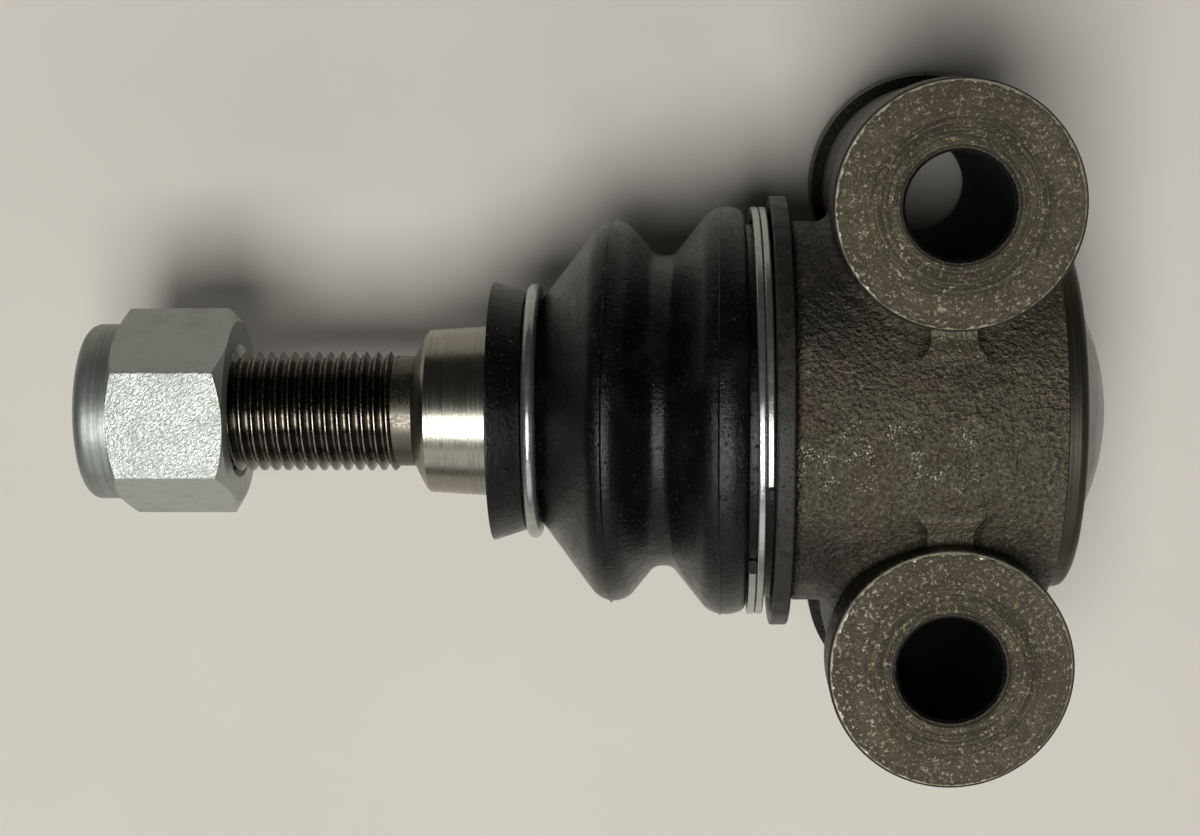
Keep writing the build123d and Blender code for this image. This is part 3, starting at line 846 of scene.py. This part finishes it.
class MESH_OT_ball_joint_boot(bpy.types.Operator):
    """Model the rubber boot in two halves that meet in its valley"""

    bl_idname = "mesh.ball_joint_boot"
    bl_label = "Boot"

    def execute(self, context):
        settings = context.scene.ball_joint.boot
        rubber = rubber_finish(settings)
        halves = (
            ("boot_housing_half", self.near_corners(), "housing_body", "boot_body"),
            ("boot_stud_half", self.far_corners(), "boot_body", "tilt_body"),
        )
        for (name, corners, near_body, far_body), span, seam_x, reach in zip(halves, SPANS, SEAMS, BENDS):
            piece = turn_profile(name, corners, settings.segments)
            cut_rings([*spaced(*span, RING_STEP), seam_x - SEAM_HALF, seam_x, seam_x + SEAM_HALF])
            bpy.ops.object.mode_set(mode="OBJECT")
            self.raise_seam(piece, seam_x, settings.seam_height)
            self.lean_folds(piece, settings.lean)
            bpy.ops.object.mode_set(mode="EDIT")
            close_and_smooth(piece, BOOT_SMOOTHING)
            dress(piece, rubber)
            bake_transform(piece)
            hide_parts("boot")
        return {"FINISHED"}

    def near_corners(self):
        """Profile of the half on the housing, out along its outside and back through its bore."""
        fold_start, fold_end, fold_radius = FIRST_FOLD
        valley_start, _, valley_radius = VALLEY
        neck_start, neck_end, neck_radius = NECK_POCKET
        pocket_start, pocket_end, pocket_radius = FIRST_POCKET
        return [
            (FLANGE_REAR_X, BOOT_GRIP_RADIUS, 0.0),
            (FLANGE_REAR_X, FLANGE_RADIUS, 0.25),
            (FLANGE_FRONT_X, FLANGE_RADIUS, 0.25),
            (FLANGE_FRONT_X, SLEEVE_RADIUS, 0.15),
            (fold_start, SLEEVE_RADIUS, 0.0),
            (fold_start, fold_radius - 0.5, 0.8),
            (fold_start - 1.4, fold_radius, 2.0),
            (fold_end, fold_radius - 0.05, 2.6),
            (valley_start, valley_radius, 1.3),
            (VALLEY_X, valley_radius, 0.0),
            (VALLEY_X, valley_radius - BOOT_WALL, 0.0),
            (VALLEY_BORE[0], valley_radius - BOOT_WALL, 1.5),
            (pocket_end, pocket_radius, 0.4),
            (pocket_start, pocket_radius, 0.4),
            (neck_end, neck_radius, 0.0),
            (neck_start, neck_radius, 0.0),
            (neck_start, BOOT_GRIP_RADIUS, 0.0),
        ]

    def far_corners(self):
        """Profile of the half on the stud, out along its outside and back through its bore."""
        _, valley_end, valley_radius = VALLEY
        fold_start, fold_end, fold_radius = SECOND_FOLD
        pocket_start, pocket_end, pocket_radius = SECOND_POCKET
        return [
            (VALLEY_X, valley_radius, 0.0),
            (valley_end, valley_radius, 1.3),
            (fold_start, fold_radius, 2.4),
            (fold_end, fold_radius, 2.4),
            (GROOVE_X[0], GROOVE_RADIUS, 0.3),
            (GROOVE_X[1], GROOVE_RADIUS, 0.2),
            (GROOVE_X[1], GROOVE_RADIUS + GROOVE_SHOULDER, 0.2),
            (BOOT_END_X + BOOT_END_LAND, BOOT_END_RADIUS, 0.15),
            (BOOT_END_X, BOOT_END_RADIUS, 0.0),
            (BOOT_END_X, BORE_RADII[1], 0.0),
            (GROOVE_X[0], BORE_RADII[0], 0.0),
            (pocket_end, pocket_radius, 0.6),
            (pocket_start, pocket_radius, 0.6),
            (VALLEY_BORE[1], valley_radius - BOOT_WALL, 1.5),
            (VALLEY_X, valley_radius - BOOT_WALL, 0.0),
        ]

    def raise_seam(self, piece, seam_x, height):
        """Pushes the ring on the fold outwards by uneven amounts."""
        chance = random.Random(7)
        for vertex in piece.data.vertices:
            radius = vertex.co.yz.length
            on_seam = abs(vertex.co.x - seam_x * MM) < SEAM_REACH * MM
            if on_seam and radius > SEAM_LEAST_RADIUS * MM:
                growth = 1 + height * chance.uniform(0.3, 1.0) / radius
                vertex.co.y *= growth
                vertex.co.z *= growth

    def lean_folds(self, piece, lean):
        """Leans the folds towards the stud on top and away from it below."""
        rise_start, rise_end, fall_start, fall_end = (place * MM for place in FOLD_REACH)
        for vertex in piece.data.vertices:
            rise = min(max((rise_start - vertex.co.x) / (rise_start - rise_end), 0), 1)
            fall = min(max((vertex.co.x - fall_end) / (fall_start - fall_end), 0), 1)
            share = min(rise, fall)
            vertex.co.x -= math.tan(lean) * vertex.co.z * share * share * (3 - 2 * share)


# stud, in millimetres: the winding, which starts and ends past the thread, and its crest
WINDING_START_X = -86.5
WINDING_END_X = -55.0
CREST_RADIUS = 6.3
# half a pitch of thread, from root to crest, as shares of the pitch along and of the depth up
RISING_STEPS = ((0.06, 0.0), (0.10, 0.14), (0.22, 0.66), (0.07, 0.18), (0.05, 0.02))
# the chamfered sleeve that the thread is turned down to
SLEEVE = ((-84.5, 5.2), (-83.35, 6.35), (-56.4, 6.35), (-55.7, 5.55))
# relief, taper and shank up to the ball
RELIEF = ((-57.0, 5.4), (-56.3, 5.8), (-54.2, 5.8))
TAPER = ((-52.95, 8.2), (-52.85, 8.3), (-52.6, 8.55), (-40.0, 9.3375))
SHANK = ((-36.0, 7.0), (-14.62, 7.0), (-14.02, 7.09), (-13.48, 7.36))
# the ball: its centre, its radius, where the shank's fillet meets it, and the flat behind it
BALL_X = -3.0
BALL_RADIUS = 12.7
BALL_NECK_RADIUS = 7.776
BALL_FLAT = 0.6
BALL_STEPS = 24
WINDING_STEPS = 72
SLEEVE_SEGMENTS = 96
BLANK_SEGMENTS = 128
STUD_SMOOTHING = 28.0
# a stud with fewer points has lost its thread
LEAST_POINTS = 1000


class MESH_OT_ball_joint_stud(bpy.types.Operator):
    """Model the stud with its taper, relief and helical thread"""

    bl_idname = "mesh.ball_joint_stud"
    bl_label = "Stud"

    def execute(self, context):
        settings = context.scene.ball_joint.stud
        thread = self.cut_thread(settings)
        blank = self.turn_solid("blank", self.blank_corners(), BLANK_SEGMENTS)
        sleeve = self.turn_solid("sleeve", SLEEVE, SLEEVE_SEGMENTS)
        for cutter, operation in ((sleeve, "INTERSECT"), (blank, "UNION")):
            modifier = thread.modifiers.new(cutter.name, "BOOLEAN")
            modifier.object = cutter
            modifier.operation = operation
            modifier.solver = "EXACT"
            deselect_all()
            context.view_layer.objects.active = thread
            thread.select_set(True)
            bpy.ops.object.modifier_apply(modifier=modifier.name)
            bpy.data.objects.remove(cutter)
        if len(thread.data.vertices) < LEAST_POINTS:
            raise RuntimeError("the stud's thread was lost")
        thread.name = "threaded_stud"
        bpy.ops.object.mode_set(mode="EDIT")
        close_and_smooth(thread, STUD_SMOOTHING)
        dress(thread, ground_steel_finish(settings))
        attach(thread, "stud_body")
        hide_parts("ball_stud")
        return {"FINISHED"}

    def cut_thread(self, settings):
        """One pitch of thread profile, wound along the stud by a Screw modifier."""
        pitch = settings.thread_pitch
        start_x = WINDING_START_X * MM
        turns = math.ceil((WINDING_END_X * MM - start_x) / pitch)
        deselect_all()
        bpy.ops.mesh.primitive_plane_add(size=pitch, location=(start_x, 0, 0))
        thread = bpy.context.object
        bpy.ops.object.transform_apply(location=True, rotation=True, scale=True)
        bpy.ops.object.mode_set(mode="EDIT")
        bpy.ops.mesh.select_mode(type="VERT")
        bpy.ops.mesh.select_all(action="SELECT")
        bpy.ops.mesh.merge(type="CENTER")
        root_radius = CREST_RADIUS * MM - settings.thread_depth
        bpy.ops.transform.translate(value=(0, 0, root_radius))
        falling_steps = [(along, -up) for along, up in reversed(RISING_STEPS)]
        for along, up in [*RISING_STEPS, *falling_steps]:
            step = (along * pitch, 0, up * settings.thread_depth)
            bpy.ops.mesh.extrude_region_move(TRANSFORM_OT_translate={"value": step})
        bpy.ops.object.mode_set(mode="OBJECT")
        winding = thread.modifiers.new("winding", "SCREW")
        winding.axis = "X"
        winding.angle = 2 * math.pi
        winding.screw_offset = pitch
        winding.iterations = turns
        winding.steps = WINDING_STEPS
        winding.render_steps = WINDING_STEPS
        winding.use_merge_vertices = True
        winding.merge_threshold = MERGE_REACH
        bpy.ops.object.modifier_apply(modifier="winding")
        bpy.ops.object.mode_set(mode="EDIT")
        bpy.ops.mesh.select_all(action="SELECT")
        bpy.ops.mesh.remove_doubles(threshold=MERGE_REACH)
        middle = start_x + turns * pitch / 2
        for side in (-1, 1):
            self.close_end(thread, middle, side)
        bpy.ops.mesh.select_all(action="SELECT")
        bpy.ops.mesh.normals_make_consistent(inside=False)
        bpy.ops.object.mode_set(mode="OBJECT")
        return thread

    def close_end(self, thread, middle, side):
        """Draws the open rim on that side of the middle in to one point, which closes it."""
        bpy.ops.mesh.select_mode(type="EDGE")
        bpy.ops.mesh.select_all(action="DESELECT")
        bpy.ops.mesh.select_non_manifold(
            use_wire=False,
            use_multi_face=False,
            use_non_contiguous=False,
            use_verts=False,
        )
        bpy.ops.object.mode_set(mode="OBJECT")
        points = thread.data.vertices
        for edge in thread.data.edges:
            edge.select = edge.select and (points[edge.vertices[0]].co.x - middle) * side > 0
        bpy.ops.object.mode_set(mode="EDIT")
        bpy.ops.mesh.extrude_region_move(TRANSFORM_OT_translate={"value": (0, 0, 0)})
        bpy.ops.mesh.merge(type="CENTER")

    def blank_corners(self):
        """Relief, taper, shank and ball as (x, radius) corners."""
        start = math.pi - math.asin(BALL_NECK_RADIUS / BALL_RADIUS)
        end = math.acos((BALL_RADIUS - BALL_FLAT) / BALL_RADIUS)
        corners = [*RELIEF, *TAPER, *SHANK]
        for index in range(BALL_STEPS + 1):
            angle = start + (end - start) * index / BALL_STEPS
            x = BALL_X + BALL_RADIUS * math.cos(angle)
            corners.append((x, BALL_RADIUS * math.sin(angle)))
        return corners

    def turn_solid(self, name, corners, segments):
        """Solid turned about the stud's axis through (x, radius) corners."""
        piece = start_circle(name, *corners[0], segments, fill="NGON")
        draw_out(corners)
        bpy.ops.mesh.normals_make_consistent(inside=False)
        bpy.ops.object.mode_set(mode="OBJECT")
        return piece


class MESH_OT_ball_joint_housing(bpy.types.Operator):
    """Finish the forged housing"""

    bl_idname = "mesh.ball_joint_housing"
    bl_label = "Housing"

    def execute(self, context):
        dress(NODES["housing"], forged_finish(context.scene.ball_joint.housing))
        return {"FINISHED"}


class MESH_OT_ball_joint_metalwork(bpy.types.Operator):
    """Finish the lock nut, the cover plate, both rings and the spring"""

    bl_idname = "mesh.ball_joint_metalwork"
    bl_label = "Nut, cap, rings and spring"

    def execute(self, context):
        settings = context.scene.ball_joint.plating
        dress(NODES["lock_nut"], nut_finish(settings))
        cap = zinc_finish("cap_zinc", settings, roughness=(0.4, 0.52), grain=0.25, dulled=0.45)
        dress(NODES["end_cap"], cap)
        wire = zinc_finish("ring_wire", settings, roughness=(0.22, 0.34), lines=0.3)
        dress(NODES["small_retaining_ring"], wire)
        dress(NODES["large_retaining_ring"], wire)
        dress(NODES["preload_spring"], spring_finish())
        return {"FINISHED"}


class MESH_OT_ball_joint_nylon(bpy.types.Operator):
    """Finish the two seats and the lock nut's insert"""

    bl_idname = "mesh.ball_joint_nylon"
    bl_label = "Seats and insert"

    def execute(self, context):
        settings = context.scene.ball_joint.plating
        seats = nylon_finish("seat_nylon", settings)
        for name in ("front_seat", "rear_seat"):
            dress(NODES[name], seats)
        dress(NODES["nylon_insert"], nylon_finish("insert_nylon", settings))
        return {"FINISHED"}


# stage, in metres: the floor's side, and each lamp's share of the power, its size and its place
FLOOR_SIZE = 4.0
LAMPS = (
    ("key_lamp", 1.0, (0.30, 0.34), (-0.09, -0.15, 0.64)),
    ("fill_lamp", 0.24, (0.8, 0.4), (-0.03, -0.6, 0.35)),
)
LAMP_TARGET = (-0.03, 0, 0)
# the room's light falls off from the near side to the far side
ROOM_FALLOFF = {"From Min": -0.8, "From Max": 0.1, "To Min": 0.2, "To Max": 0.05}
# camera: its turns in radians, its place along its own axes and its sensor's width in millimetres,
# and how near and far it sees in metres
CAMERA_TURNS = (("Z", 0.001), ("Y", -0.037), ("X", 0.164))
CAMERA_PLACE = (-34.805, -0.813, 222.39)
SENSOR_WIDTH = 36.0
CLIP = (0.01, 10.0)


class SCENE_OT_ball_joint_stage(bpy.types.Operator):
    """Lay the floor, hang the lamps and stand the camera"""

    bl_idname = "scene.ball_joint_stage"
    bl_label = "Floor, lamps and camera"

    def execute(self, context):
        settings = context.scene.ball_joint.stage
        self.lay_floor(settings)
        deselect_all()
        for name, share, size, place in LAMPS:
            self.hang_lamp(name, settings.key_power * share, size, place)
        self.light_room()
        self.stand_camera(settings)
        context.scene.view_settings.view_transform = "Standard"
        return {"FINISHED"}

    def lay_floor(self, settings):
        lowest = min(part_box(name)[0].z for name in NODES)
        deselect_all()
        bpy.ops.mesh.primitive_plane_add(size=FLOOR_SIZE, location=(0, 0, lowest))
        floor = bpy.context.object
        floor.name = "floor"
        bpy.ops.object.transform_apply(location=True, rotation=True, scale=True)
        finish = Finish("floor_paint")
        cloud = finish.grade(finish.noise(30.0, 4.0, 0.5), 0.3, 0.7, 0.0, 0.15)
        tint = finish.blend(cloud, settings.floor, paint(190, 186, 176))
        dress(floor, finish.finish(Base_Color=tint, Roughness=0.85))

    def hang_lamp(self, name, power, size, place):
        """Hangs a rectangular lamp there and turns it to the part, with its sides level."""
        bpy.ops.object.light_add(type="AREA", location=place)
        lamp = bpy.context.object
        lamp.name = name
        lamp.data.shape = "RECTANGLE"
        lamp.data.size, lamp.data.size_y = size
        lamp.data.energy = power
        back = (Vector(place) - Vector(LAMP_TARGET)).normalized()
        across = Vector((0, 1, 0)).cross(back).normalized()
        turn = Matrix((across, back.cross(across), back)).transposed()
        lamp.rotation_euler = turn.to_euler()

    def light_room(self):
        world = bpy.data.worlds.new("studio")
        bpy.context.scene.world = world
        world.use_nodes = True
        tree = world.node_tree
        background = tree.nodes["Background"]
        background.inputs["Color"].default_value = (*paint(205, 203, 200), 1.0)
        direction = tree.nodes.new("ShaderNodeTexCoord")
        parts = tree.nodes.new("ShaderNodeSeparateXYZ")
        tree.links.new(direction.outputs["Generated"], parts.inputs[0])
        falloff = tree.nodes.new("ShaderNodeMapRange")
        falloff.interpolation_type = "SMOOTHSTEP"
        for name, value in ROOM_FALLOFF.items():
            falloff.inputs[name].default_value = value
        tree.links.new(parts.outputs[1], falloff.inputs["Value"])
        tree.links.new(falloff.outputs[0], background.inputs["Strength"])

    def stand_camera(self, settings):
        turn = Matrix.Identity(3)
        for axis, angle in CAMERA_TURNS:
            turn = turn @ Matrix.Rotation(angle, 3, axis)
        to_frame = turn.transposed()
        place = to_frame @ Vector(CAMERA_PLACE) * MM
        camera_data = bpy.data.cameras.new("camera")
        camera = bpy.data.objects.new("camera", camera_data)
        bpy.context.scene.collection.objects.link(camera)
        camera_data.lens = settings.lens
        camera_data.sensor_width = SENSOR_WIDTH
        camera_data.clip_start, camera_data.clip_end = CLIP
        camera.matrix_world = Matrix.Translation(place) @ to_frame.to_4x4()
        bpy.context.scene.camera = camera


class VIEW3D_PT_ball_joint(bpy.types.Panel):
    """Lists the steps that dress the ball joint"""

    bl_label = "Ball Joint"
    bl_space_type = "VIEW_3D"
    bl_region_type = "UI"
    bl_category = "Ball Joint"

    def draw(self, context):
        settings = context.scene.ball_joint
        for operator, group in STEPS:
            self.layout.operator(operator.bl_idname)
            if group:
                box = self.layout.box()
                values = getattr(settings, group)
                for name in values.__annotations__:
                    box.prop(values, name)


STEPS = (
    (MESH_OT_ball_joint_boot, "boot"),
    (MESH_OT_ball_joint_stud, "stud"),
    (MESH_OT_ball_joint_housing, "housing"),
    (MESH_OT_ball_joint_metalwork, "plating"),
    (MESH_OT_ball_joint_nylon, None),
    (SCENE_OT_ball_joint_stage, "stage"),
)
CLASSES = (
    BootSettings,
    StudSettings,
    HousingSettings,
    PlatingSettings,
    StageSettings,
    JointSettings,
    *(operator for operator, _ in STEPS),
    VIEW3D_PT_ball_joint,
)


def register():
    for cls in CLASSES:
        bpy.utils.register_class(cls)
    bpy.types.Scene.ball_joint = PointerProperty(type=JointSettings)


def unregister():
    del bpy.types.Scene.ball_joint
    for cls in reversed(CLASSES):
        bpy.utils.unregister_class(cls)


def main():
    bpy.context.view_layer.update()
    register()
    bpy.ops.mesh.ball_joint_boot()
    bpy.ops.mesh.ball_joint_stud()
    bpy.ops.mesh.ball_joint_housing()
    bpy.ops.mesh.ball_joint_metalwork()
    bpy.ops.mesh.ball_joint_nylon()
    bpy.ops.scene.ball_joint_stage()


if __name__ == "__main__":
    main()
